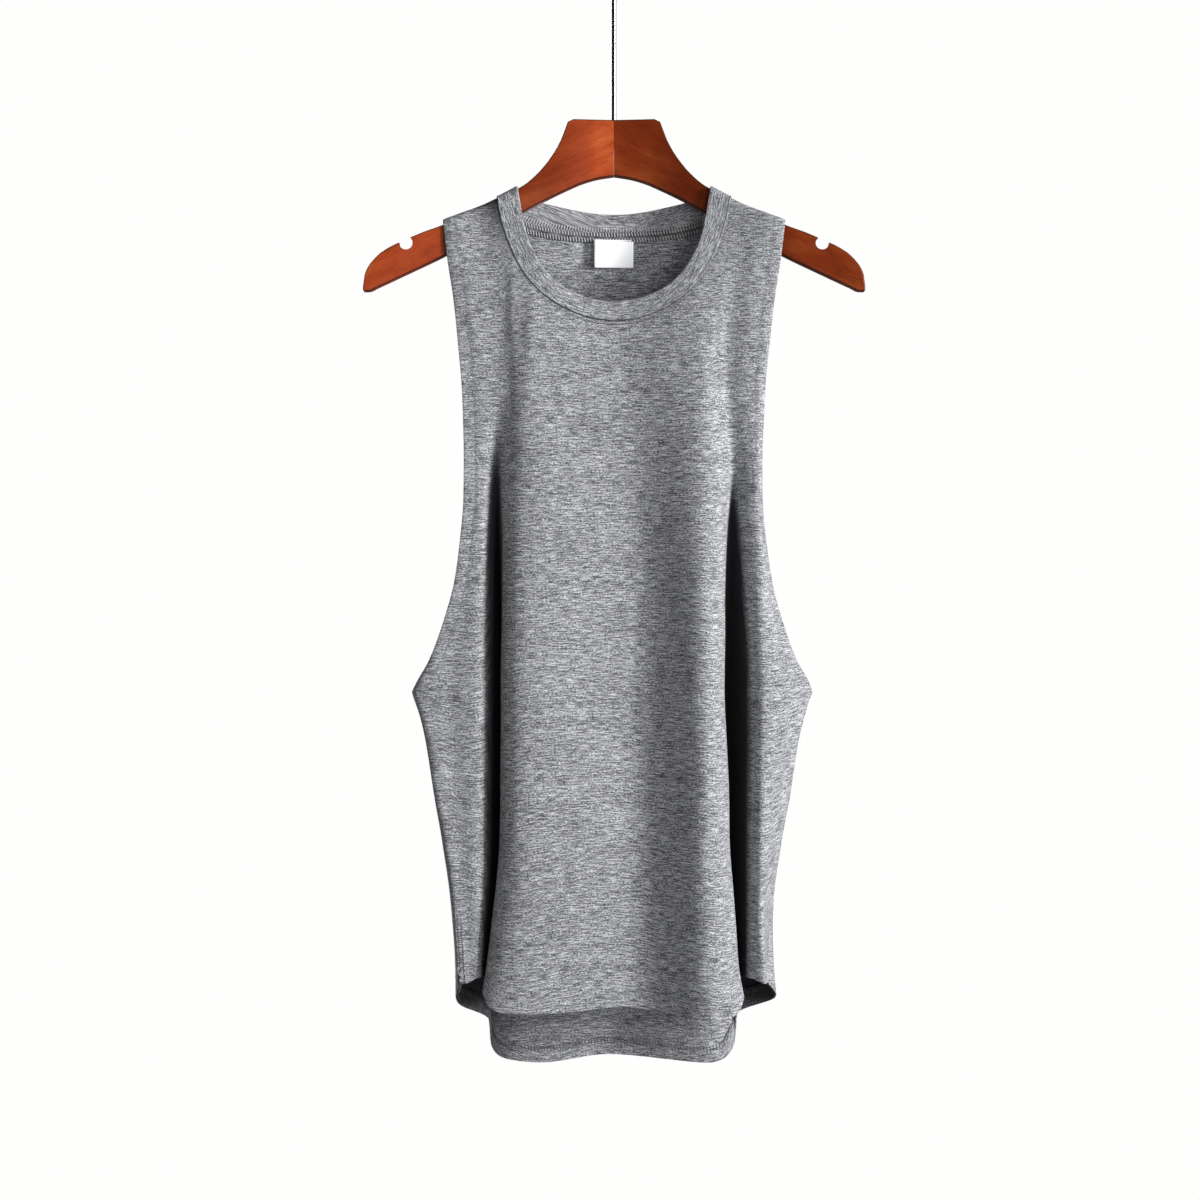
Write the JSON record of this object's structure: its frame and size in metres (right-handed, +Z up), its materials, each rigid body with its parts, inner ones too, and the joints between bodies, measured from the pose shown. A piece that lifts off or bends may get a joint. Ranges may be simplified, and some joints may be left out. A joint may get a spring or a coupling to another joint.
{
  "type": "stringer tank top on a wooden hanger",
  "caption": "Sleeveless drop-armhole jersey top with a ribbed neck, deep side pleats and a longer back tail, hanging on a contoured wooden hanger with a wire hook.",
  "frame": {"origin": "inside the top of the hook, where it rests on a rail", "axes": "+Z up, -Y the garment's front, +X to the right of someone who looks at the front"},
  "size_m": [0.4412, 0.1093, 1.0161],
  "materials": {
    "jersey": "heather grey jersey, matt, fine horizontal streaks",
    "rib": "heather grey rib knit, matt",
    "label": "white satin label, bare",
    "hanger_wood": "red-brown stain under gloss lacquer",
    "hook_wire": "drawn steel wire"
  },
  "bodies": {
    "root": {"front": "jersey", "back": "jersey", "neck_band": "rib", "label": "label", "hanger_left": "hanger_wood", "hanger_right": "hanger_wood", "hook": "hook_wire"}
  },
  "joints": []
}
